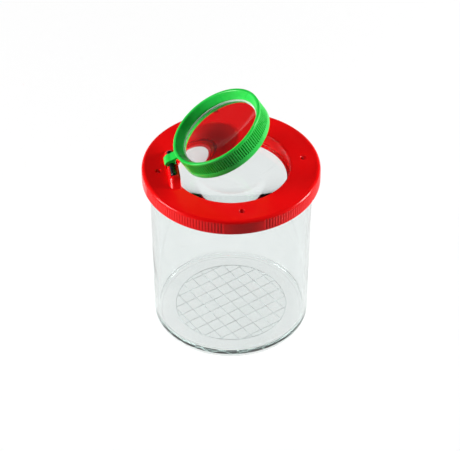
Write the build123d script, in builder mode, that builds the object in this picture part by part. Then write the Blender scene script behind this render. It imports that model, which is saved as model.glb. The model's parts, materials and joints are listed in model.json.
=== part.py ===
from build123d import *
import os
from math import cos, radians, sin, sqrt

# Bug catcher jar: a clear cup with a measuring grid in its floor, a push-on lid with a fixed lens
# in its opening, and a second lens in a ring that swings up on a pin. Millimetres, +Z up. The
# origin is the centre of the foot, and the hinge is at -X.

# Clear cup
cup_height = 69.7
cup_rim_radius = 31.1
cup_taper = 0.64
cup_wall = 1.6
floor_height = 2.1
floor_thickness = 1.7
floor_rounding = 1.8
foot_rounding = 0.8
foot_width = 1.5
foot_edge_rounding = 0.15
rim_bead = 0.9
rim_bead_height = 2.8
rim_rounding = 0.4

# Measuring grid engraved in the floor
grid_margin = 5.06
grid_pitch = 5.0
grid_line_width = 0.3
grid_line_depth = 0.2
grid_turn = 27.0

# Lid
lid_clearance = 0.1
skirt_wall = 1.45
lid_height = 6.1
plate_thickness = 2.2
lid_edge_rounding = 1.5
skirt_edge_rounding = 0.4
collar_gap = 5.4
collar_wall = 1.7
opening_rounding = 0.8
air_hole_radius = 1.1
air_hole_margin = 3.7
air_hole_count = 4

# Grip ribs of the lid, which stop at a smooth panel under each air hole
lid_rib_depth = 0.45
lid_rib_pitch_angle = 2.0
lid_rib_top_band = 0.5
lid_rib_low_band = 0.5
lid_panel_angle = 26.0

# Fixed lens of the lid, on a ledge at the foot of the collar
lid_lens_depth = 4.8
lid_lens_edge = 1.6
lid_lens_crown = 2.4
lid_lens_belly = 2.3
lens_clearance = 0.12
ledge_width = 1.2
ledge_thickness = 1.2
nub_count = 4
nub_first_angle = 45.0
nub_reach = 0.4
nub_length = 4.0
nub_height = 0.5
nub_gap = 0.05

# Hinge: a pin in a raised bearing block, which fills one side of the opening
hinge_height = 2.8
pin_radius = 1.0
pin_length = 14.8
pin_chamfer = 0.2
pin_seat_clearance = 0.02
pin_seat_end_gap = 0.1
pin_cover = 0.4
block_front = 2.4
block_back = 2.0
block_end = 0.6
block_ramp = 4.0
block_ramp_rounding = 2.0
block_edge_rounding = 0.4

# Swinging magnifier: its ring is over the middle of the lid when it is closed
rest_angle = 30.0
ring_margin = 3.8
ring_gap = 1.7
ring_height = 8.1
ring_lift = 0.2
ring_lip = 1.1
ring_lip_rounding = 0.35
ring_wall = 1.9
shoulder_width = 1.0
aperture_depth = 2.7
shoulder_thickness = 0.5
snap_bead_reach = 0.35
snap_bead_height = 0.7
ring_rib_depth = 0.38
ring_rib_pitch_angle = 3.0
ring_rib_top_band = 0.9
ring_rib_low_band = 2.1
ring_plain_angle = 66.0
magnifier_lens_edge = 1.6
magnifier_lens_bulge = 0.8

# Lug of the ring: an eye on the pin, a neck to the ring and a thumb tab that hooks down behind the pin
running_clearance = 0.05
lug_width = 4.4
lug_offset = 1.5
eye_radius = 1.85
neck_top = 2.0
neck_thickness = 1.15
neck_root = 0.8
tab_angle = 30.0
tab_top = 2.2
tab_reach = 2.6
tab_thickness = 0.8
tab_tip = 0.4
pocket_clearance = 0.3

# Places that follow from the sizes above
cup_base_radius = cup_rim_radius - cup_taper
bead_radius = cup_rim_radius + rim_bead
bead_foot = cup_height - rim_bead_height
foot_inner_radius = cup_base_radius - foot_rounding - foot_width
grid_radius = cup_base_radius - cup_wall - floor_rounding - grid_margin
lid_top = cup_height + plate_thickness
skirt_foot = lid_top - lid_height
skirt_inner_radius = bead_radius + lid_clearance
lid_radius = skirt_inner_radius + skirt_wall + lid_rib_depth
collar_radius = cup_rim_radius - cup_wall - collar_gap
opening_radius = collar_radius - collar_wall
air_hole_circle = collar_radius + air_hole_margin
lens_seat = lid_top - lid_lens_depth - lid_lens_edge
collar_foot = lens_seat - ledge_thickness
ring_radius = opening_radius - ring_margin
ring_bore_radius = ring_radius - ring_wall
aperture_radius = ring_bore_radius - shoulder_width
shoulder_height = ring_height - aperture_depth - shoulder_thickness
lens_foot = shoulder_height - magnifier_lens_edge
hinge_offset = ring_radius + ring_gap + block_front
hinge_point = Vector(-hinge_offset, 0, lid_top + hinge_height)
block_face = -(hinge_offset - block_front)
block_length = pin_length + 2 * block_end
block_height = hinge_height + pin_cover
ring_foot = ring_lift - hinge_height
pocket_radius = max(tab_reach, tab_top, eye_radius) + pocket_clearance

# The swung ring's own directions: along the ring away from the hinge, and up its axis
swing_out = Vector(cos(radians(rest_angle)), 0, sin(radians(rest_angle)))
swing_up = Vector(-sin(radians(rest_angle)), 0, cos(radians(rest_angle)))
ring_centre = hinge_point + swing_out * hinge_offset + swing_up * ring_foot
ring_plane = Plane(origin=ring_centre, x_dir=swing_out, z_dir=swing_up)
ring_section = Plane(origin=ring_centre, x_dir=swing_out, z_dir=(0, -1, 0))
ring_axis = Axis(ring_centre, swing_up)
lug_middle = hinge_point + Vector(0, lug_offset, 0)
lug_section = Plane(origin=lug_middle, x_dir=swing_out, z_dir=(0, -1, 0))
tab_lean = radians(rest_angle - tab_angle)
tab_section = Plane(origin=lug_middle, x_dir=(cos(tab_lean), 0, sin(tab_lean)), z_dir=(0, -1, 0))
hinge_section = Plane(origin=hinge_point, x_dir=(1, 0, 0), z_dir=(0, -1, 0))


def outline(plane, corners):
    """Closed outline on a plane; a corner is its radius, its height and its rounding."""
    with BuildSketch(plane) as section:
        with BuildLine():
            FilletPolyline(
                [(radius, height) for radius, height, _ in corners],
                radius=[rounding for _, _, rounding in corners],
                close=True,
            )
        make_face()
    return section.sketch


def lens_outline(plane, radius, seat, edge, rim, crown, belly):
    """Half section of a lens: a flat rim of this width, a crown above it and a belly below."""
    dome = radius - rim
    with BuildSketch(plane) as section:
        with BuildLine():
            Polyline((dome, seat), (radius, seat), (radius, seat + edge), (dome, seat + edge))
            RadiusArc((dome, seat + edge), (0, seat + edge + crown), -dome_radius(dome, crown))
            Line((0, seat + edge + crown), (0, seat - belly))
            RadiusArc((0, seat - belly), (dome, seat), -dome_radius(dome, belly))
        make_face()
    return section.sketch


def dome_radius(half_width, rise):
    """Radius of the sphere whose cap has this half width and this rise."""
    return (half_width**2 + rise**2) / (2 * rise)


def rib_grooves(plane, radius, depth, pitch_angle, first_angle, span):
    """Sketch of V grooves round a circle, one pitch apart, over a span of angles."""
    count = int(span / pitch_angle)
    start = first_angle + (span - count * pitch_angle) / 2 + pitch_angle / 2
    with BuildSketch(plane) as grooves:
        with PolarLocations(radius, count, start_angle=start, angular_range=count * pitch_angle):
            RegularPolygon(depth, 4)
    return grooves.sketch


# Clear cup: thin tapered wall, thick rounded corner, recessed foot and a bead round the rim
def cup_radius(height):
    """Outside radius of the tapered wall at a height."""
    return cup_base_radius + (cup_rim_radius - cup_base_radius) * height / cup_height


with BuildPart() as cup:
    revolve(
        outline(
            Plane.XZ,
            [
                (0, floor_height - floor_thickness, 0),
                (foot_inner_radius, floor_height - floor_thickness, foot_edge_rounding),
                (foot_inner_radius, 0, foot_edge_rounding),
                (cup_base_radius, 0, foot_rounding),
                (cup_radius(bead_foot - rim_bead), bead_foot - rim_bead, 0),
                (bead_radius, bead_foot, 0),
                (bead_radius, cup_height, rim_rounding),
                (cup_rim_radius - cup_wall, cup_height, rim_rounding),
                (cup_radius(floor_height) - cup_wall, floor_height, floor_rounding),
                (0, floor_height, 0),
            ],
        ),
        axis=Axis.Z,
    )
    grid_plane = Plane.XY.offset(floor_height).rotated((0, 0, grid_turn))
    grid_lines = 2 * int(grid_radius / grid_pitch) + 1
    with BuildSketch(grid_plane) as grid:
        with GridLocations(grid_pitch, grid_pitch, grid_lines, 1):
            Rectangle(grid_line_width, 2 * grid_radius)
        with GridLocations(grid_pitch, grid_pitch, 1, grid_lines):
            Rectangle(2 * grid_radius, grid_line_width)
        Circle(grid_radius, mode=Mode.INTERSECT)
    extrude(amount=-grid_line_depth, mode=Mode.SUBTRACT)
    with BuildSketch(grid_plane) as grid_circle:
        Circle(grid_radius + grid_line_width / 2)
        Circle(grid_radius - grid_line_width / 2, mode=Mode.SUBTRACT)
    extrude(amount=-grid_line_depth, mode=Mode.SUBTRACT)
cup.part.label = "clear_cup"

# Lid: ribbed skirt, flat plate and a collar round the opening with a ledge for its lens
with BuildPart() as lid:
    revolve(
        outline(
            Plane.XZ,
            [
                (opening_radius - ledge_width, collar_foot, 0),
                (collar_radius, collar_foot, skirt_edge_rounding),
                (collar_radius, lid_top - plate_thickness, 0),
                (skirt_inner_radius, lid_top - plate_thickness, 0),
                (skirt_inner_radius, skirt_foot, skirt_edge_rounding),
                (lid_radius, skirt_foot, skirt_edge_rounding),
                (lid_radius, lid_top, lid_edge_rounding),
                (opening_radius, lid_top, opening_rounding),
                (opening_radius, lens_seat, 0),
                (opening_radius - ledge_width, lens_seat, 0),
            ],
        ),
        axis=Axis.Z,
    )
    # The bearing block's foot fills the opening behind a flat, down to the foot of the collar
    with BuildSketch(Plane.XY.offset(collar_foot)) as block_foot:
        Circle(opening_radius + collar_wall / 2)
        with Locations((block_face, 0)):
            Rectangle(2 * lid_radius, 2 * lid_radius, align=(Align.MAX, Align.CENTER), mode=Mode.INTERSECT)
    extrude(amount=lid_top - collar_foot)
    # The raised block itself, with a ramp at each end, a seat for the pin and a pocket for the lug
    with BuildPart(mode=Mode.PRIVATE) as block:
        with BuildSketch(Plane.YZ.offset(block_face)) as block_side:
            with BuildLine():
                FilletPolyline(
                    (-block_length / 2 - block_ramp, lid_top - plate_thickness / 2),
                    (-block_length / 2 - block_ramp, lid_top),
                    (-block_length / 2, lid_top + block_height),
                    (block_length / 2, lid_top + block_height),
                    (block_length / 2 + block_ramp, lid_top),
                    (block_length / 2 + block_ramp, lid_top - plate_thickness / 2),
                    radius=[0, 0, block_ramp_rounding, block_ramp_rounding, 0, 0],
                    close=True,
                )
            make_face()
        extrude(amount=-(block_front + block_back))
        fillet(block.faces().sort_by(Axis.Z)[-1].edges().filter_by(Axis.Y), block_edge_rounding)
    add(block.part)
    with BuildSketch(hinge_section) as pin_seat:
        Circle(pin_radius + pin_seat_clearance)
    extrude(amount=pin_length / 2 + pin_seat_end_gap, both=True, mode=Mode.SUBTRACT)
    with BuildSketch(lug_section) as lug_pocket:
        Circle(pocket_radius)
    extrude(amount=lug_width / 2 + pocket_clearance, both=True, mode=Mode.SUBTRACT)
    # Snap nubs over the lens's rim
    with Locations((0, 0, lens_seat + lid_lens_edge + nub_gap)):
        with PolarLocations(opening_radius, nub_count, start_angle=nub_first_angle):
            Box(2 * nub_reach, nub_length, nub_height, align=(Align.CENTER, Align.CENTER, Align.MIN))
    with Locations((0, 0, lid_top)):
        with PolarLocations(air_hole_circle, air_hole_count):
            Hole(air_hole_radius)
    rib_plane = Plane.XY.offset(skirt_foot + lid_rib_low_band)
    rib_span = 360 / air_hole_count - lid_panel_angle
    for quarter in range(air_hole_count):
        first = quarter * 360 / air_hole_count + lid_panel_angle / 2
        grooves = rib_grooves(rib_plane, lid_radius, lid_rib_depth, lid_rib_pitch_angle, first, rib_span)
        extrude(grooves, amount=lid_height - lid_rib_low_band - lid_rib_top_band, mode=Mode.SUBTRACT)
lid.part.label = "lid"

# Fixed lens of the lid, with a flat that keys it to the bearing block
with BuildPart() as lid_lens:
    revolve(
        lens_outline(
            Plane.XZ,
            opening_radius - lens_clearance,
            lens_seat,
            lid_lens_edge,
            ledge_width,
            lid_lens_crown,
            lid_lens_belly,
        ),
        axis=Axis.Z,
    )
    split(bisect_by=Plane.YZ.offset(block_face + lens_clearance), keep=Keep.TOP)
lid_lens.part.label = "lid_lens"

# Hinge pin, pressed down into the bearing block
with BuildPart() as pin:
    with BuildSketch(hinge_section) as pin_end:
        Circle(pin_radius)
    extrude(amount=pin_length / 2, both=True)
    chamfer(pin.edges().filter_by(GeomType.CIRCLE), pin_chamfer)
pin.part.label = "hinge_pin"

# Swinging ring: a bevelled rim over a shoulder, a bore for the lens and a snap bead under it
with BuildPart() as ring:
    revolve(
        outline(
            ring_section,
            [
                (ring_bore_radius, 0, 0),
                (ring_radius, 0, ring_lip_rounding),
                (ring_radius, ring_height, ring_lip_rounding),
                (ring_radius - ring_lip, ring_height, ring_lip_rounding),
                (aperture_radius, ring_height - aperture_depth, 0),
                (aperture_radius, shoulder_height, 0),
                (ring_bore_radius, shoulder_height, 0),
                (ring_bore_radius, lens_foot, 0),
                (ring_bore_radius - snap_bead_reach, lens_foot - snap_bead_height / 2, 0),
                (ring_bore_radius, lens_foot - snap_bead_height, 0),
            ],
        ),
        axis=ring_axis,
    )
    ring_rib_plane = ring_plane.offset(ring_rib_low_band)
    grooves = rib_grooves(
        ring_rib_plane,
        ring_radius,
        ring_rib_depth,
        ring_rib_pitch_angle,
        ring_plain_angle / 2 - 180,
        360 - ring_plain_angle,
    )
    extrude(grooves, amount=ring_height - ring_rib_low_band - ring_rib_top_band, mode=Mode.SUBTRACT)
    # Neck and eye
    with BuildSketch(lug_section) as lug:
        Circle(eye_radius)
        with Locations((0, neck_top)):
            Rectangle(
                hinge_offset - ring_radius + neck_root,
                neck_thickness,
                align=(Align.MIN, Align.MAX),
            )
    extrude(amount=lug_width / 2, both=True)
    # Thumb tab
    with BuildSketch(tab_section) as tab:
        with BuildLine():
            TangentArc((0, tab_top), (-tab_reach, 0), tangent=(-1, 0))
            Line((-tab_reach, 0), (-tab_reach + tab_tip, 0))
            TangentArc((0, tab_top - tab_thickness), (-tab_reach + tab_tip, 0), tangent=(-1, 0))
            Line((0, tab_top - tab_thickness), (0, tab_top))
        make_face()
    extrude(amount=lug_width / 2, both=True)
    with BuildSketch(lug_section) as eye_bore:
        Circle(pin_radius + running_clearance)
    extrude(amount=lug_width, both=True, mode=Mode.SUBTRACT)
ring.part.label = "magnifier_ring"

# Magnifier lens, snapped up into the ring against its shoulder
with BuildPart() as magnifier_lens:
    revolve(
        lens_outline(
            ring_section,
            ring_bore_radius - lens_clearance,
            lens_foot,
            magnifier_lens_edge,
            ring_bore_radius - aperture_radius,
            magnifier_lens_bulge,
            magnifier_lens_bulge,
        ),
        axis=ring_axis,
    )
magnifier_lens.part.label = "magnifier_lens"

os.makedirs("parts", exist_ok=True)
for piece in (cup, lid, lid_lens, pin, ring, magnifier_lens):
    export_step(piece.part, f"parts/{piece.part.label}.step")
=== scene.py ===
import json
import math

import bmesh
import bpy
from mathutils import Matrix, Vector


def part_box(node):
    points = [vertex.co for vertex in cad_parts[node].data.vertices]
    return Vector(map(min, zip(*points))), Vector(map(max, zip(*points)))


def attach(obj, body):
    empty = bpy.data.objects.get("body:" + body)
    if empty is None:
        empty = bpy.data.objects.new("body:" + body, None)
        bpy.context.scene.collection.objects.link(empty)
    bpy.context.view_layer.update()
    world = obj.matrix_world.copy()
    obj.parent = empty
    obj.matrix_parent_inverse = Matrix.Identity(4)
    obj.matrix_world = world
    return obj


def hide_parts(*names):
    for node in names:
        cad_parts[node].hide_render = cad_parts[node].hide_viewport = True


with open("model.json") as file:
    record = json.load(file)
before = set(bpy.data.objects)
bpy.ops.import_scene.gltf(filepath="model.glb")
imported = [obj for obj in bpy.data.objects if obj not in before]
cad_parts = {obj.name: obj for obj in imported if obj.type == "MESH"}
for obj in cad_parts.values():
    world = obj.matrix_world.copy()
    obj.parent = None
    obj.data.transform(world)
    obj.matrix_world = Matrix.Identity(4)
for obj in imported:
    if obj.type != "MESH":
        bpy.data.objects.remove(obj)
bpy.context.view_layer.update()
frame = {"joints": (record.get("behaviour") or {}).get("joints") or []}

# Clear cup: the jar itself, one thin-walled moulding in clear polystyrene. It stands on a ring round
# its recessed underside, and a bead round its rim grips the lid. The mould left a measuring grid of
# fine grooves in the floor.
mm = 0.001
tiny = 0.001 * mm
cup_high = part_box("clear_cup")[1]
cup_height = cup_high.z
cup_wall = 1.6 * mm
cup_taper = 0.64 * mm
rim_bead = 0.9 * mm
rim_bead_height = 2.8 * mm
rim_rounding = 0.4 * mm
rim_radius = cup_high.x - rim_bead
base_radius = rim_radius - cup_taper
floor_height = 2.1 * mm
floor_thickness = 1.7 * mm
floor_rounding = 1.8 * mm
foot_rounding = 0.8 * mm
foot_width = 1.5 * mm
foot_edge_rounding = 0.15 * mm
foot_inner_radius = base_radius - foot_rounding - foot_width
grid_radius = 22.0 * mm
grid_pitch = 5.0 * mm
grid_line_width = 0.27 * mm
grid_line_depth = 0.2 * mm
grid_turn = math.radians(27)
corner_steps = 8
cup_steps = 256
smooth_angle = math.radians(32)


def pick(kind, rule):
    """Select the verts, edges or faces of the piece in edit mode that pass a rule."""
    bpy.ops.mesh.select_mode(type={"verts": "VERT", "edges": "EDGE", "faces": "FACE"}[kind])
    bpy.ops.mesh.select_all(action="DESELECT")
    shape = bmesh.from_edit_mesh(bpy.context.object.data)
    for part in getattr(shape, kind):
        part.select_set(bool(rule(part)))
    shape.select_flush_mode()
    bmesh.update_edit_mesh(bpy.context.object.data)


def draw(name, corners, closed):
    """Start a piece with its outline in the XZ plane, and stay in edit mode.
    A corner is its distance from the axis, its height and its rounding."""
    bpy.ops.object.select_all(action="DESELECT")
    bpy.ops.mesh.primitive_plane_add(size=mm)
    piece = bpy.context.object
    piece.name = name
    bpy.ops.object.mode_set(mode="EDIT")
    bpy.ops.mesh.select_mode(type="VERT")
    bpy.ops.mesh.select_all(action="SELECT")
    bpy.ops.mesh.merge(type="CENTER")
    places = [Vector((out, 0, up)) for out, up, rounding in corners]
    bpy.ops.transform.translate(value=places[0])
    for last, place in zip(places, places[1:]):
        bpy.ops.mesh.extrude_region_move(TRANSFORM_OT_translate={"value": place - last})
    if closed:
        pick("verts", lambda vert: vert.co in (places[0], places[-1]) or len(vert.link_edges) == 1)
        bpy.ops.mesh.edge_face_add()
    for place, (out, up, rounding) in zip(places, corners):
        if rounding:
            pick("verts", lambda vert: (vert.co - place).length < tiny)
            bpy.ops.mesh.bevel(offset=rounding, segments=corner_steps, affect="VERTICES")
    return piece


def turn(steps):
    """Turn the outline in edit mode once round Z, as on a lathe, and close its seam and poles."""
    bpy.ops.mesh.select_all(action="SELECT")
    bpy.ops.mesh.spin(steps=steps, angle=math.tau, center=(0, 0, 0), axis=(0, 0, 1))
    bpy.ops.mesh.select_all(action="SELECT")
    bpy.ops.mesh.remove_doubles(threshold=tiny)
    bpy.ops.mesh.normals_make_consistent(inside=False)


def smooth(piece):
    """Leave edit mode and shade the round faces smooth, with flat faces flat up to their roundings."""
    bpy.ops.object.mode_set(mode="OBJECT")
    bpy.ops.object.select_all(action="DESELECT")
    piece.select_set(True)
    bpy.context.view_layer.objects.active = piece
    bpy.ops.object.shade_smooth_by_angle(angle=smooth_angle)
    bpy.ops.object.modifier_add(type="WEIGHTED_NORMAL")
    piece.modifiers[-1].keep_sharp = True
    bpy.ops.object.modifier_apply(modifier=piece.modifiers[-1].name)


def wall_radius(height):
    """Outside radius of the cup's tapered wall at a height."""
    return base_radius + (rim_radius - base_radius) * height / cup_height


bead_foot = cup_height - rim_bead_height
cup = draw(
    "cup_body",
    [
        (0, floor_height - floor_thickness, 0),
        (foot_inner_radius, floor_height - floor_thickness, foot_edge_rounding),
        (foot_inner_radius, 0, foot_edge_rounding),
        (base_radius, 0, foot_rounding),
        (wall_radius(bead_foot - rim_bead), bead_foot - rim_bead, 0),
        (rim_radius + rim_bead, bead_foot, 0),
        (rim_radius + rim_bead, cup_height, rim_rounding),
        (rim_radius - cup_wall, cup_height, rim_rounding),
        (wall_radius(floor_height) - cup_wall, floor_height, floor_rounding),
        (grid_radius + grid_line_width / 2, floor_height, 0),
        (grid_radius - grid_line_width / 2, floor_height, 0),
        (0, floor_height, 0),
    ],
    closed=False,
)
turn(cup_steps)
grid_lines = range(-int(grid_radius / grid_pitch), int(grid_radius / grid_pitch) + 1)
grid_ways = [
    Vector((math.cos(grid_turn + side), math.sin(grid_turn + side), 0)) for side in (0, math.pi / 2)
]


def in_grid(face):
    """Whether a face lies in the floor's top, inside the circle of the grid."""
    middle = face.calc_center_median()
    return abs(middle.z - floor_height) < tiny and middle.xy.length < grid_radius - grid_line_width / 2


def in_groove(face):
    """Whether a face of the floor's top lies on a line of the grid or on its circle."""
    middle = face.calc_center_median()
    if abs(middle.z - floor_height) > tiny or middle.xy.length > grid_radius + grid_line_width / 2:
        return False
    off_lines = [(middle.dot(way) + grid_pitch / 2) % grid_pitch - grid_pitch / 2 for way in grid_ways]
    on_line = min(abs(off) for off in off_lines) < grid_line_width / 4
    return on_line or middle.xy.length > grid_radius - grid_line_width / 2


pick("faces", in_grid)
bpy.ops.mesh.dissolve_faces()
for way in grid_ways:
    for line in grid_lines:
        for side in (-0.5, 0.5):
            pick("faces", in_grid)
            place = way * (line * grid_pitch + side * grid_line_width)
            bpy.ops.mesh.bisect(plane_co=place, plane_no=way, threshold=tiny)
pick("faces", in_groove)
bpy.ops.mesh.extrude_region_move(TRANSFORM_OT_translate={"value": (0, 0, -grid_line_depth)})


class Shade:
    """A socket in a material's node tree. Arithmetic on it adds Math nodes."""

    def __init__(self, tree, socket=None):
        self.tree = tree
        self.socket = socket

    def node(self, kind, settings, sockets, output=0):
        """Add a node: its settings are set first, then the values or links of its sockets."""
        made = self.tree.nodes.new(kind)
        for name, value in settings.items():
            setattr(made, name, value)
        for name, value in sockets.items():
            if isinstance(value, Shade):
                self.tree.links.new(value.socket, made.inputs[name])
            else:
                made.inputs[name].default_value = value
        return Shade(self.tree, made.outputs[output] if made.outputs else None)

    def math(self, operation, first, second):
        return self.node("ShaderNodeMath", {"operation": operation}, {0: first, 1: second})

    def __add__(self, other):
        return self.math("ADD", self, other)

    def __mul__(self, other):
        return self.math("MULTIPLY", self, other)

    __radd__ = __add__
    __rmul__ = __mul__

    def noise(self, size, detail=2.0):
        """Soft noise from 0 to 1, with lumps of about this size in metres."""
        place = self.node("ShaderNodeTexCoord", {}, {}, "Object")
        return self.node("ShaderNodeTexNoise", {}, {"Vector": place, "Scale": 1 / size, "Detail": detail})

    def spread(self, low, high):
        """Stretch what lies between two values to 0 and 1, and cut off the rest."""
        return self.node("ShaderNodeMapRange", {}, {"Value": self, "From Min": low, "From Max": high})

    def tint(self, first, second):
        """The first colour where this is 0, and the second where it is 1."""
        mix = {0: self, 6: (*first, 1), 7: (*second, 1)}
        return self.node("ShaderNodeMix", {"data_type": "RGBA"}, mix, 2)

    def bump(self, height):
        """Surface normal with bumps as high as this, times a height in metres."""
        return self.node("ShaderNodeBump", {}, {"Height": self, "Distance": height, "Strength": 1.0})

    def plastic(self, sockets):
        """Close the tree with a Principled surface."""
        surface = self.node("ShaderNodeBsdfPrincipled", {}, sockets)
        self.node("ShaderNodeOutputMaterial", {}, {"Surface": surface})

    def see_through(self, sockets, pane, inside, density):
        """Close the tree with a clear Principled surface that lamps shine through, as through a pane of
        this colour, and an inside that takes up light to be left with this colour."""
        surface = self.node("ShaderNodeBsdfPrincipled", {}, sockets)
        lit = self.node("ShaderNodeBsdfTransparent", {}, {"Color": (*pane, 1)})
        is_shadow = self.node("ShaderNodeLightPath", {}, {}, "Is Shadow Ray")
        both = self.node("ShaderNodeMixShader", {}, {0: is_shadow, 1: surface, 2: lit})
        volume = self.node("ShaderNodeVolumeAbsorption", {}, {"Color": (*inside, 1), "Density": density})
        self.node("ShaderNodeOutputMaterial", {}, {"Surface": both, "Volume": volume})


def new_material(name):
    """An empty material, and the shade that starts its tree."""
    material = bpy.data.materials.new(name)
    material.use_nodes = True
    material.node_tree.nodes.clear()
    return material, Shade(material.node_tree)


# The moulding is polished, with a little handling haze and a faint ripple in its wall
clear_plastic, shade = new_material("clear_polystyrene")
haze = shade.noise(9 * mm, 4.0).spread(0.45, 0.75)
ripple = shade.noise(14 * mm, 1.0)
shade.see_through(
    {
        "Base Color": haze.tint((0.985, 0.992, 0.99), (0.96, 0.972, 0.97)),
        "Roughness": 0.008 + 0.03 * haze,
        "IOR": 1.58,
        "Transmission Weight": 1.0,
        "Normal": ripple.bump(0.05 * mm),
    },
    (0.95, 0.97, 0.965),
    (0.42, 0.56, 0.53),
    85.0,
)

# The grooves of the grid are matt, and their dark grey colour is painted shade in the grooves
painted_shade_groove_plastic, shade = new_material("clear_polystyrene_matt")
worn = shade.noise(2 * mm)
shade.plastic(
    {
        "Base Color": worn.tint((0.24, 0.27, 0.27), (0.36, 0.39, 0.39)),
        "Roughness": 0.45 + 0.2 * worn,
        "IOR": 1.58,
        "Transmission Weight": 0.75,
    }
)
cup.data.materials.append(clear_plastic)
cup.data.materials.append(painted_shade_groove_plastic)
pick(
    "faces",
    lambda face: floor_height - grid_line_depth - tiny < face.calc_center_median().z < floor_height - tiny
    and face.calc_center_median().xy.length < grid_radius + grid_line_width,
)
cup.active_material_index = 1
bpy.ops.object.material_slot_assign()
smooth(cup)
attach(cup, "jar")
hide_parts("clear_cup")

# Lid: one moulding in red polypropylene, pushed over the cup's bead. Ribs on its skirt are for grip,
# with a smooth panel below each air hole. The collar round its opening holds the fixed lens, and a
# raised block on one side of the opening carries the hinge pin.
lid_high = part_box("lid")[1]
swing = next(joint for joint in frame["joints"] if joint["name"] == "magnifier_swing")
hinge = Vector(swing["pos_m"])
hinge_height = 2.8 * mm
lid_radius = lid_high.x
lid_top = hinge.z - hinge_height
skirt_height = 6.1 * mm
skirt_foot = lid_top - skirt_height
skirt_wall = 1.9 * mm
skirt_inner_radius = lid_radius - skirt_wall
skirt_edge_rounding = 0.4 * mm
lid_edge_rounding = 1.5 * mm
plate_foot = cup_height
opening_radius = 22.4 * mm
opening_rounding = 0.8 * mm
collar_radius = opening_radius + 1.7 * mm
ledge_width = 1.2 * mm
ledge_thickness = 1.2 * mm
lens_edge = 1.6 * mm
lens_depth = 4.8 * mm
lens_seat = lid_top - lens_depth - lens_edge
collar_foot = lens_seat - ledge_thickness
rib_foot_edge = 0.5 * mm
rib_head_edge = 0.45 * mm
rib_foot = skirt_foot + rib_foot_edge
rib_head = lid_top - rib_head_edge
rib_end = 0.25 * mm
rib_depth = 0.2 * mm
rib_profile = ((0, 1.0), (0.25, 0.4))
rib_pitch = 2.0
panel_angle = 26.0
lid_steps = 720
level_step = 0.02 * mm


def flute(radius, foot, head, depth, profile, pitch, gap_middle, gap_angle, gaps):
    """Press grooves into a turned wall between two heights, one pitch of degrees apart. The profile
    gives shares of the depth at shares of the pitch from a groove's middle. The wall stays plain over a
    gap of angles, which repeats round it, and a groove runs out where the wall rounds in past its depth."""
    turn_share = 360 / gaps

    def off_groove(spot):
        angle = math.degrees(math.atan2(spot.y, spot.x))
        past_gap = (angle - gap_middle - gap_angle / 2) % turn_share
        if past_gap > turn_share - gap_angle:
            return pitch
        return abs((past_gap % pitch) - pitch / 2)

    def level(spot):
        return round(spot.xy.length / level_step), round(spot.z / level_step)

    shape = bmesh.from_edit_mesh(bpy.context.object.data)
    spots = [vert.co for vert in shape.verts if foot < vert.co.z < head]
    levels = sorted({level(spot) for spot in spots if spot.xy.length > radius - depth})
    for off, share in profile:
        for place in levels:
            squeeze = min(1, (radius - share * depth) / (place[0] * level_step))
            pick(
                "verts",
                lambda vert: level(vert.co) == place
                and abs(off_groove(vert.co) - off * pitch) < pitch / 16,
            )
            bpy.ops.transform.resize(value=(squeeze, squeeze, 1), center_override=(0, 0, 0))


def carve(piece, tool, operation):
    """Join a tool to a piece (UNION) or cut it away (DIFFERENCE), and remove the tool."""
    bpy.ops.object.mode_set(mode="OBJECT")
    bpy.context.view_layer.objects.active = piece
    change = piece.modifiers.new(operation, "BOOLEAN")
    change.operation = operation
    change.solver = "EXACT"
    change.object = tool
    bpy.ops.object.modifier_apply(modifier=change.name)
    bpy.data.objects.remove(tool)


def rod(radius, length, middle, axis_turn, vertices=64):
    """A round bar of this radius and length, its middle at a place, turned from Z by Euler angles."""
    bpy.ops.object.select_all(action="DESELECT")
    bpy.ops.mesh.primitive_cylinder_add(
        vertices=vertices, radius=radius, depth=length, location=middle, rotation=axis_turn
    )
    bpy.ops.object.transform_apply()
    return bpy.context.object


lid = draw(
    "lid_moulding",
    [
        (opening_radius - ledge_width, collar_foot, 0),
        (collar_radius, collar_foot, skirt_edge_rounding),
        (collar_radius, plate_foot, 0),
        (skirt_inner_radius, plate_foot, 0),
        (skirt_inner_radius, skirt_foot, skirt_edge_rounding),
        (lid_radius, skirt_foot, skirt_edge_rounding),
        (lid_radius, rib_foot, 0),
        (lid_radius, rib_foot + rib_end, 0),
        (lid_radius, lid_top, lid_edge_rounding),
        (opening_radius, lid_top, opening_rounding),
        (opening_radius, lens_seat, 0),
        (opening_radius - ledge_width, lens_seat, 0),
    ],
    closed=True,
)
turn(lid_steps)
flute(lid_radius, rib_foot + tiny, rib_head, rib_depth, rib_profile, rib_pitch, 0, panel_angle, 4)
bpy.ops.object.mode_set(mode="OBJECT")

# Bearing block: its foot fills the opening behind a flat, and its raised part has a ramp at each end
block_front = 2.4 * mm
block_depth = 4.4 * mm
block_length = 16.0 * mm
block_ramp = 4.0 * mm
block_height = lid_high.z - lid_top
block_ramp_rounding = 0.9 * mm
block_edge = 0.4 * mm
block_back_edge = 2.2 * mm
block_sink = 0.05 * mm
block_bite = 0.85 * mm
edge_steps = 4
back_edge_steps = 10
block_face = hinge.x + block_front
along_y = (math.pi / 2, 0, 0)
block_foot = rod(
    opening_radius + block_bite,
    lid_top - collar_foot,
    (0, 0, (lid_top + collar_foot) / 2),
    (0, 0, 0),
    128,
)
bpy.ops.object.mode_set(mode="EDIT")
bpy.ops.mesh.select_all(action="SELECT")
bpy.ops.mesh.bisect(
    plane_co=(block_face, 0, 0), plane_no=(1, 0, 0), use_fill=True, clear_outer=True, threshold=tiny
)
carve(lid, block_foot, "UNION")
bpy.ops.object.select_all(action="DESELECT")
bpy.ops.mesh.primitive_cube_add(
    size=1,
    scale=(block_depth, block_length + 2 * block_ramp, block_height + block_sink),
    location=(block_face - block_depth / 2, 0, lid_top + (block_height - block_sink) / 2),
)
block = bpy.context.object
bpy.ops.object.transform_apply()
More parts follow.
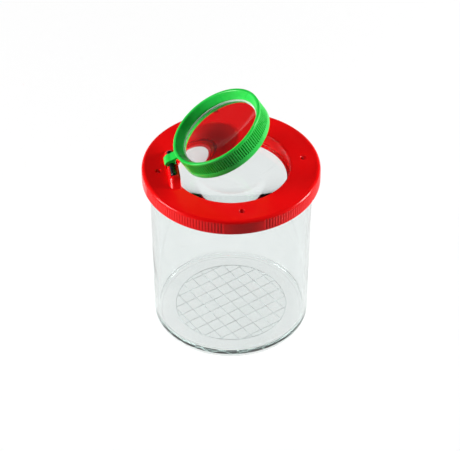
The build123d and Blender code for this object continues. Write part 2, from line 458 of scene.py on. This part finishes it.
bpy.ops.object.mode_set(mode="EDIT")
pick("faces", lambda face: face.normal.z > 0.9)
bpy.ops.transform.resize(
    value=(1, block_length / (block_length + 2 * block_ramp), 1), center_override=(0, 0, lid_high.z)
)
pick(
    "edges",
    lambda edge: min(vert.co.z for vert in edge.verts) > lid_high.z - tiny
    and abs(edge.verts[0].co.y - edge.verts[1].co.y) < tiny,
)
bpy.ops.mesh.bevel(offset=block_ramp_rounding, segments=corner_steps)
pick(
    "edges",
    lambda edge: abs(edge.verts[0].co.x - edge.verts[1].co.x) < tiny
    and max(vert.co.z for vert in edge.verts) > lid_top + tiny
    and edge.verts[0].co.x > block_face - tiny,
)
bpy.ops.mesh.bevel(offset=block_edge, segments=edge_steps)
pick(
    "edges",
    lambda edge: abs(edge.verts[0].co.x - edge.verts[1].co.x) < tiny
    and max(vert.co.z for vert in edge.verts) > lid_top + tiny
    and edge.verts[0].co.x < block_face - block_depth + tiny,
)
bpy.ops.mesh.bevel(offset=block_back_edge, segments=back_edge_steps)
carve(lid, block, "UNION")

# Seat for the pin, pocket for the lug that swings in it, and the air holes with their soft edges
pin_radius = 1.0 * mm
pin_length = 14.8 * mm
seat_clearance = 0.02 * mm
seat_end_room = 0.2 * mm
lug_width = 4.4 * mm
lug_offset = 1.5 * mm
tab_reach = 2.6 * mm
pocket_clearance = 0.3 * mm
air_hole_radius = 1.1 * mm
air_hole_circle = 27.8 * mm
air_hole_flare = 0.12 * mm
air_hole_count = 4
seat_radius = pin_radius + seat_clearance
seat_length = pin_length + seat_end_room
carve(lid, rod(seat_radius, seat_length, hinge, along_y), "DIFFERENCE")
lug_middle = hinge + Vector((0, lug_offset, 0))
pocket_width = lug_width + 2 * pocket_clearance
carve(lid, rod(tab_reach + pocket_clearance, pocket_width, lug_middle, along_y, 96), "DIFFERENCE")
for number in range(air_hole_count):
    drill = draw(
        "drill",
        [
            (0, plate_foot - mm, 0),
            (air_hole_radius, plate_foot - mm, 0),
            (air_hole_radius, lid_top - air_hole_flare, 0),
            (air_hole_radius + 2 * air_hole_flare, lid_top + air_hole_flare, 0),
            (0, lid_top + air_hole_flare, 0),
        ],
        closed=False,
    )
    turn(48)
    bpy.ops.object.mode_set(mode="OBJECT")
    angle = number * math.tau / air_hole_count
    drill.location = (air_hole_circle * math.cos(angle), air_hole_circle * math.sin(angle), 0)
    bpy.ops.object.transform_apply()
    carve(lid, drill, "DIFFERENCE")

# Snap nubs on the collar, which hold the lens down by its rim
nub_reach = 0.4 * mm
nub_length = 4.0 * mm
nub_height = 0.5 * mm
nub_gap = 0.05 * mm
nub_rounding = 0.15 * mm
nub_count = 4
for number in range(nub_count):
    bpy.ops.object.select_all(action="DESELECT")
    bpy.ops.mesh.primitive_cube_add(
        size=1,
        scale=(2 * nub_reach, nub_length, nub_height),
        location=(opening_radius, 0, lens_seat + lens_edge + nub_gap + nub_height / 2),
    )
    nub = bpy.context.object
    bpy.ops.object.transform_apply()
    bpy.ops.object.mode_set(mode="EDIT")
    bpy.ops.mesh.select_all(action="SELECT")
    bpy.ops.mesh.bevel(offset=nub_rounding, segments=3)
    bpy.ops.object.mode_set(mode="OBJECT")
    nub.rotation_euler.z = math.tau * (number + 0.5) / nub_count
    bpy.ops.object.transform_apply()
    carve(lid, nub, "UNION")

# Glossy red with a fine moulded grain, and colour that varies a little as the melt flowed
red_plastic, shade = new_material("red_polypropylene")
grain = shade.noise(0.45 * mm, 2.0)
flow = shade.noise(12 * mm, 3.0)
hue = (0.6 * grain + 0.4 * flow).spread(0.3, 0.7)
shade.plastic(
    {
        "Base Color": hue.tint((0.7, 0.001, 0.002), (0.78, 0.005, 0.005)),
        "Roughness": 0.15 + 0.1 * flow,
        "IOR": 1.49,
        "Specular IOR Level": 0.14,
        "Normal": grain.bump(0.012 * mm),
    }
)
lid.data.materials.append(red_plastic)
smooth(lid)
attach(lid, "lid")
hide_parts("lid")

# Fixed lens of the lid: a clear acrylic disc with a domed top, dropped on the ledge of the collar.
# A flat on one side keys it to the bearing block.
lens_steps = 192
dome_steps = 28
lens_clearance = 0.12 * mm
lens_rim_rounding = 0.15 * mm
lens_gap = 0.03 * mm
lid_lens_low, lid_lens_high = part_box("lid_lens")
lid_lens_radius = lid_lens_high.x


def dome(half_width, rise):
    """Points of a shallow round cap from its edge to its middle: distance from the axis and height."""
    curve = (half_width**2 + rise**2) / (2 * rise)
    outs = [half_width * (1 - step / dome_steps) for step in range(dome_steps + 1)]
    return [(out, math.sqrt(curve**2 - out**2) - curve + rise) for out in outs]


def turn_lens(name, plastic, radius, seat, edge, rim, crown, belly):
    """Turn a lens: a flat rim of this width, with a crown above it and a belly below."""
    rim_foot = seat + lens_gap
    rim_head = seat + edge - lens_gap
    top = [(out, rim_head + up, 0) for out, up in dome(radius - rim, crown)]
    bottom = [(out, rim_foot - up, 0) for out, up in reversed(dome(radius - rim, belly))]
    sides = [(radius, rim_foot, lens_rim_rounding), (radius, rim_head, lens_rim_rounding)]
    lens = draw(name, bottom + sides + top, closed=False)
    turn(lens_steps)
    lens.data.materials.append(plastic)
    return lens


def acrylic(name, pane):
    """Polished acrylic with faint finger marks, which lets lamps through as a pane of this colour."""
    material, shade = new_material(name)
    marks = shade.noise(6 * mm, 5.0).spread(0.52, 0.8)
    shade.see_through(
        {
            "Base Color": marks.tint((0.99, 0.995, 0.995), (0.965, 0.975, 0.975)),
            "Roughness": 0.004 + 0.02 * marks,
            "IOR": 1.49,
            "Transmission Weight": 1.0,
        },
        pane,
        (0.75, 0.9, 0.88),
        10.0,
    )
    return material


lid_lens_plastic = acrylic("clear_acrylic", (0.97, 0.98, 0.98))
lid_lens = turn_lens(
    "lid_lens_disc",
    lid_lens_plastic,
    lid_lens_radius,
    lens_seat,
    lens_edge,
    ledge_width,
    lid_lens_high.z - lens_seat - lens_edge,
    lens_seat - lid_lens_low.z,
)
bpy.ops.mesh.select_all(action="SELECT")
bpy.ops.mesh.bisect(
    plane_co=(block_face + lens_clearance, 0, 0),
    plane_no=(1, 0, 0),
    use_fill=True,
    clear_inner=True,
    threshold=tiny,
)
smooth(lid_lens)
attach(lid_lens, "lid")
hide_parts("lid_lens")

# Hinge pin: a short blackened steel wire with rounded ends, snapped down into the bearing block.
# The lid's pocket leaves it bare near its middle, where the ring's lug turns on it.
pin_rounding = 0.8 * mm
pin = rod(pin_radius, pin_length, hinge, along_y)
pin.name = "pin_wire"
bpy.ops.object.mode_set(mode="EDIT")
pick(
    "edges",
    lambda edge: abs(edge.verts[0].co.y) > pin_length / 2 - tiny
    and edge.is_manifold
    and edge.verts[0].co.y * edge.verts[1].co.y > 0,
)
bpy.ops.mesh.bevel(offset=pin_rounding, segments=corner_steps)

# Black oxide, rubbed to bare steel in places
black_steel, shade = new_material("blackened_steel")
rub = shade.noise(0.8 * mm, 4.0).spread(0.55, 0.7)
shade.plastic(
    {
        "Base Color": rub.tint((0.008, 0.008, 0.009), (0.05, 0.05, 0.052)),
        "Roughness": 0.25 + 0.2 * rub,
        "Metallic": 0.3 + 0.5 * rub,
        "Normal": rub.bump(0.01 * mm),
    }
)
pin.data.materials.append(black_steel)
smooth(pin)
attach(pin, "lid")
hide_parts("hinge_pin")

# Swinging ring: one moulding in green polypropylene with ribs for grip, a bevel down to the lens, and
# a lug on the pin with a thumb tab behind it. It rests part open, as its hinge is stiff.
rest_angle = math.radians(-swing["range_deg"][0])
ring_radius = 18.6 * mm
ring_height = 8.1 * mm
ring_lip = 1.1 * mm
ring_rounding = 0.35 * mm
ring_bore = 16.7 * mm
aperture_radius = 15.7 * mm
aperture_depth = 2.7 * mm
aperture_rounding = 0.2 * mm
shoulder_thickness = 0.5 * mm
shoulder_height = ring_height - aperture_depth - shoulder_thickness
magnifier_edge = 1.6 * mm
magnifier_seat = shoulder_height - magnifier_edge
bead_reach = 0.35 * mm
ring_rib_foot = 2.1 * mm
ring_rib_head_edge = 0.9 * mm
ring_rib_head = ring_height - ring_rib_head_edge
ring_rib_depth = 0.7 * mm
ring_rib_profile = ((0, 1.0), (0.25, 0.18))
ring_rib_pitch = 3.0
ring_plain_angle = 66.0
ring_steps = 480
ring_lift = 0.2 * mm
ring_place = Vector((-hinge.x, 0, lid_top + ring_lift - hinge.z))
tilt = Matrix.Rotation(-rest_angle, 4, "Y")


def swing_up(piece):
    """Put a piece that was turned round Z in the ring's place, part open on the hinge at the origin."""
    bpy.ops.object.mode_set(mode="OBJECT")
    piece.matrix_world = tilt @ Matrix.Translation(ring_place)
    bpy.ops.object.transform_apply()


ring = draw(
    "swing_ring",
    [
        (ring_bore, 0, 0),
        (ring_radius, 0, ring_rounding),
        (ring_radius, ring_rib_foot, 0),
        (ring_radius, ring_rib_foot + rib_end, 0),
        (ring_radius, ring_rib_head - rib_end, 0),
        (ring_radius, ring_rib_head, 0),
        (ring_radius, ring_height, ring_rounding),
        (ring_radius - ring_lip, ring_height, ring_rounding),
        (aperture_radius, ring_height - aperture_depth, aperture_rounding),
        (aperture_radius, shoulder_height, 0),
        (ring_bore, shoulder_height, 0),
        (ring_bore, magnifier_seat, 0),
        (ring_bore - bead_reach, magnifier_seat - bead_reach, 0),
        (ring_bore, magnifier_seat - 2 * bead_reach, 0),
    ],
    closed=True,
)
turn(ring_steps)
flute(
    ring_radius,
    ring_rib_foot + tiny,
    ring_rib_head - tiny,
    ring_rib_depth,
    ring_rib_profile,
    ring_rib_pitch,
    180,
    ring_plain_angle,
    1,
)
swing_up(ring)

# Lug: an eye round the pin, a neck to the ring and a tab that hooks down behind the pin, in one outline
eye_radius = 1.85 * mm
eye_steps = 20
neck_length = 4.9 * mm
neck_top = 2.0 * mm
neck_low = 0.85 * mm
tab_top = 2.2 * mm
tab_inside = 1.4 * mm
tab_tip = 0.4 * mm
lug_rounding = 0.15 * mm
eye_clearance = 0.05 * mm
eye_end_angle = -201
tab_under_angles = (138, 154.9)
tab_over_angles = (170.4, 95)


def arc(radius, middle_up, first, last):
    """Points on an arc round a place above or below the hinge, between two angles in degrees."""
    angles = [math.radians(first + (last - first) * step / eye_steps) for step in range(eye_steps + 1)]
    return [(radius * math.cos(angle), middle_up + radius * math.sin(angle), 0) for angle in angles]


def hook(top, reach, first, last):
    """Points on an arc that is level at its top and comes down to the hinge's height at its reach."""
    radius = (reach**2 + top**2) / (2 * top)
    return arc(radius, top - radius, first, last)


def neck_corner(up):
    """Outer corner of the neck, which leans with the ring."""
    corner = tilt @ Vector((neck_length, 0, up))
    return (corner.x, corner.z, 0)


rest_degrees = math.degrees(rest_angle)
neck_angle = math.degrees(math.asin(neck_low / eye_radius)) + rest_degrees
lug = draw(
    "lug",
    [neck_corner(neck_low)]
    + arc(eye_radius, 0, neck_angle, eye_end_angle)
    + hook(tab_inside, tab_reach - tab_tip, *tab_under_angles)
    + hook(tab_top, tab_reach, *tab_over_angles)
    + [neck_corner(neck_top)],
    closed=True,
)
bpy.ops.mesh.select_all(action="SELECT")
bpy.ops.mesh.edge_face_add()
bpy.ops.transform.translate(value=(0, lug_offset - lug_width / 2, 0))
bpy.ops.mesh.extrude_region_move(TRANSFORM_OT_translate={"value": (0, lug_width, 0)})
bpy.ops.mesh.select_all(action="SELECT")
bpy.ops.mesh.normals_make_consistent(inside=False)
pick("edges", lambda edge: abs(edge.verts[0].co.y - edge.verts[1].co.y) < tiny)
bpy.ops.mesh.bevel(offset=lug_rounding, segments=edge_steps)
carve(ring, lug, "UNION")
carve(ring, rod(pin_radius + eye_clearance, 3 * lug_width, (0, 0, 0), along_y), "DIFFERENCE")
ring.data.transform(Matrix.Translation(hinge))

# Glossy green, a little uneven in colour, with a finer grain than the lid's
green_plastic, shade = new_material("green_polypropylene")
grain = shade.noise(0.35 * mm, 2.0)
flow = shade.noise(9 * mm, 3.0)
hue = (0.4 * grain + 0.6 * flow).spread(0.3, 0.7)
shade.plastic(
    {
        "Base Color": hue.tint((0.008, 0.46, 0.035), (0.025, 0.62, 0.08)),
        "Roughness": 0.22 + 0.12 * flow,
        "IOR": 1.49,
        "Specular IOR Level": 0.25,
        "Normal": grain.bump(0.015 * mm),
    }
)
ring.data.materials.append(green_plastic)
smooth(ring)
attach(ring, "magnifier")
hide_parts("magnifier_ring")

# Magnifier lens: a clear acrylic lens, domed on both sides, snapped up into the ring from below.
# It bends some of the lamps' light away, so it shades what is behind it.
magnifier_bulge = 0.8 * mm
# Width by which the lens rim shows past the aperture, as the line with the painted highlight
painted_highlight_width = 0.25 * mm
magnifier_rim = ring_bore - aperture_radius + painted_highlight_width
swing_lens_plastic = acrylic("clear_acrylic_bent", (0.42, 0.43, 0.43))
magnifier_lens = turn_lens(
    "swing_lens",
    swing_lens_plastic,
    ring_bore - lens_clearance,
    magnifier_seat,
    magnifier_edge,
    magnifier_rim,
    magnifier_bulge,
    magnifier_bulge,
)

# Its rim is matt and pale, a painted highlight that shows as a pale line inside the ring
painted_highlight_rim_plastic, shade = new_material("clear_acrylic_matt")
scuff = shade.noise(1.5 * mm)
shade.plastic(
    {
        "Base Color": scuff.tint((0.86, 0.88, 0.88), (0.95, 0.96, 0.96)),
        "Roughness": 0.3 + 0.15 * scuff,
        "IOR": 1.49,
        "Transmission Weight": 0.55,
    }
)
magnifier_lens.data.materials.append(painted_highlight_rim_plastic)
pick("faces", lambda face: face.calc_center_median().xy.length > ring_bore - magnifier_rim)
magnifier_lens.active_material_index = 1
bpy.ops.object.material_slot_assign()
swing_up(magnifier_lens)
magnifier_lens.data.transform(Matrix.Translation(hinge))
smooth(magnifier_lens)
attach(magnifier_lens, "magnifier")
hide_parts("magnifier_lens")

# Studio: a pale floor that is white to the camera and through the clear plastic, but keeps a soft
# shadow, and a world that is white at the horizon and dark above it, so that gloss stays deep.
floor_size = 6
bpy.ops.mesh.primitive_plane_add(size=floor_size)
studio_floor = bpy.context.object
studio_floor.name = "studio_floor"


def seen_directly(shade, itself, in_gloss, through):
    """Shares for what the camera sees itself, in gloss and through clear plastic. Other light has 0."""
    camera_ray = shade.node("ShaderNodeLightPath", {}, {}, "Is Camera Ray")
    gloss_ray = shade.node("ShaderNodeLightPath", {}, {}, "Is Glossy Ray")
    clear_ray = shade.node("ShaderNodeLightPath", {}, {}, "Is Transmission Ray")
    return (itself * camera_ray + in_gloss * gloss_ray + through * clear_ray).spread(0, 1)


floor_paper, shade = new_material("studio_paper")
fibre = shade.noise(4 * mm, 3.0)
is_bounce = shade.node("ShaderNodeLightPath", {}, {}, "Is Diffuse Ray")
paper_colour = (fibre * 0.1 + 0.6 * is_bounce).tint((0.9, 0.9, 0.9), (0.1, 0.1, 0.1))
paper = shade.node("ShaderNodeBsdfDiffuse", {}, {"Color": paper_colour})
glow_share = seen_directly(shade, 0.86, 0.8, 0.55)
glow = shade.node("ShaderNodeEmission", {}, {"Color": (1, 1, 1, 1), "Strength": 1.0})
shade.node(
    "ShaderNodeOutputMaterial",
    {},
    {"Surface": shade.node("ShaderNodeMixShader", {}, {0: glow_share, 1: paper, 2: glow})},
)
studio_floor.data.materials.append(floor_paper)

world = bpy.data.worlds.new("studio")
bpy.context.scene.world = world
world.use_nodes = True
world.node_tree.nodes.clear()
shade = Shade(world.node_tree)
way = shade.node("ShaderNodeTexCoord", {}, {}, "Generated")
height = shade.node("ShaderNodeSeparateXYZ", {}, {"Vector": way}, "Z")
ceiling = height.spread(0.0, 0.06).tint((0.95, 0.95, 0.95), (0.06, 0.062, 0.065))
is_camera = shade.node("ShaderNodeLightPath", {}, {}, "Is Camera Ray")
sight = shade.node("ShaderNodeMix", {"data_type": "RGBA"}, {0: is_camera, 6: ceiling, 7: (1, 1, 1, 1)}, 2)
fill = shade.node("ShaderNodeBackground", {}, {"Color": (0.97, 0.985, 1.0, 1), "Strength": 0.06})
seen_share = seen_directly(shade, 1.0, 1.0, 1.0)
seen = shade.node("ShaderNodeBackground", {}, {"Color": sight, "Strength": 1.0})
shade.node(
    "ShaderNodeOutputWorld",
    {},
    {"Surface": shade.node("ShaderNodeMixShader", {}, {0: seen_share, 1: fill, 2: seen})},
)
lamp_aim = Vector((0, 0, 0.05))


def softbox(name, place, size, power):
    """A square soft lamp that faces the jar from a place."""
    lamp = bpy.data.lights.new(name, "AREA")
    lamp.size = size
    lamp.energy = power
    box = bpy.data.objects.new(name, lamp)
    bpy.context.scene.collection.objects.link(box)
    box.location = place
    box.rotation_euler = (lamp_aim - box.location).to_track_quat("-Z", "Y").to_euler()


softbox("softbox_left", Vector((-0.72, 0.0, 0.32)), 0.3, 8.8)
softbox("softbox_right", Vector((0.72, 0.0, 0.32)), 0.22, 9.2)

# Camera at the photograph's view: a long lens from above the front, a little to the left. It aims a
# little below the middle of the part's height.
lens_length = 157.28
view_distance = 780.78 * mm
view_height = math.radians(40.4)
view_turn = Matrix.Rotation(math.radians(-8.3), 3, "Z")
view_target = view_turn @ Vector((-0.41 * mm, 0, 41.44 * mm))
view_from = view_turn @ Vector((0, -math.cos(view_height), math.sin(view_height)))
camera_lens = bpy.data.cameras.new("camera")
camera_lens.lens = lens_length
camera_lens.sensor_width = 36
camera = bpy.data.objects.new("camera", camera_lens)
bpy.context.scene.collection.objects.link(camera)
camera.location = view_target + view_from * view_distance
camera.rotation_euler = (-view_from).to_track_quat("-Z", "Y").to_euler()
bpy.context.scene.camera = camera
bpy.context.scene.view_settings.view_transform = "Standard"
